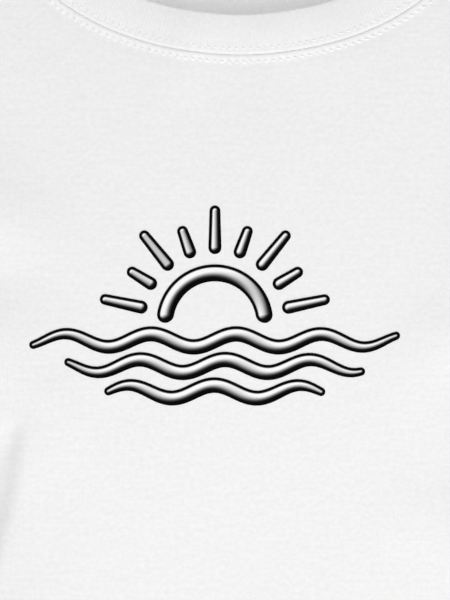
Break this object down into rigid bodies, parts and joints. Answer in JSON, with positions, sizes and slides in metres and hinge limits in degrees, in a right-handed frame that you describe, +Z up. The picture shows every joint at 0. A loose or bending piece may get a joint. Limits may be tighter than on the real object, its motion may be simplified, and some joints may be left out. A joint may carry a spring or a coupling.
{
  "type": "child's short-sleeved T-shirt",
  "caption": "White knitted T-shirt for a child, lying face up, with short sleeves, a ribbed crew neck and a taped back neck seam.",
  "frame": {"origin": "middle of the T-shirt's box, on the surface that it lies on", "axes": "+X to the wearer's left, +Y from the hem towards the neck, +Z up, out of the front of the T-shirt"},
  "size_m": [0.5724, 0.466, 0.026],
  "materials": {
    "jersey": "matt white cotton single jersey",
    "rib": "matt white cotton rib, folded double",
    "tape": "matt white cotton tape",
    "thread": "white polyester sewing thread",
    "print": "screen print in black, silver grey and white, soft sheen"
  },
  "bodies": {
    "root": {"body_front": "jersey", "body_back": "jersey", "sleeve_left": "jersey", "sleeve_right": "jersey", "sleeve_hem_left": "jersey", "sleeve_hem_right": "jersey", "bottom_hem": "jersey", "neckband": "rib", "neck_tape": "tape"}
  },
  "joints": []
}
